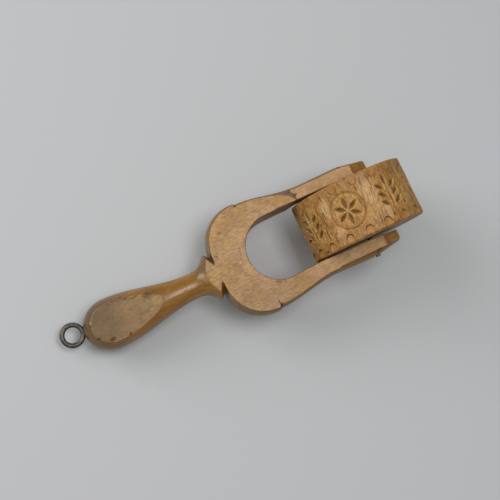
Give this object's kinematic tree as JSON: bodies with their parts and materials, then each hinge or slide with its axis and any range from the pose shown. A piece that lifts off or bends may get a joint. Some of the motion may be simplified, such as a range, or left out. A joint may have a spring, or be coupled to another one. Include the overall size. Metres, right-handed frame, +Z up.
{
  "type": "butter roller",
  "caption": "Hand butter roller: a carved wooden drum turns on an iron pin in a forked, turned wooden handle with an iron hanging eye.",
  "frame": {"origin": "middle of the bounding box on the surface that the roller stands on, resting on its drum and on the end of its handle", "axes": "+X from the handle towards the drum, +Y across the fork along the drum's pin, +Z up"},
  "size_m": [0.2308, 0.071, 0.073],
  "materials": {
    "handle_wood": "worn sycamore or beech, matte sawn flats and glossy brown turned surfaces",
    "drum_wood": "dry, worn, carved wood with dark grain streaks",
    "pin_iron": "dark rusted wrought iron",
    "eye_iron": "dark bronzed iron wire, worn"
  },
  "bodies": {
    "frame": {"fork_handle": "handle_wood", "drum_pin": "pin_iron", "screw_eye": "eye_iron"},
    "drum": {"drum": "drum_wood"}
  },
  "joints": [
    {"name": "drum_spin", "type": "hinge", "parent": "frame", "child": "drum", "pos_m": [0.07894, 0, 0.0365], "axis": [0, 1, 0], "continuous": true}
  ]
}
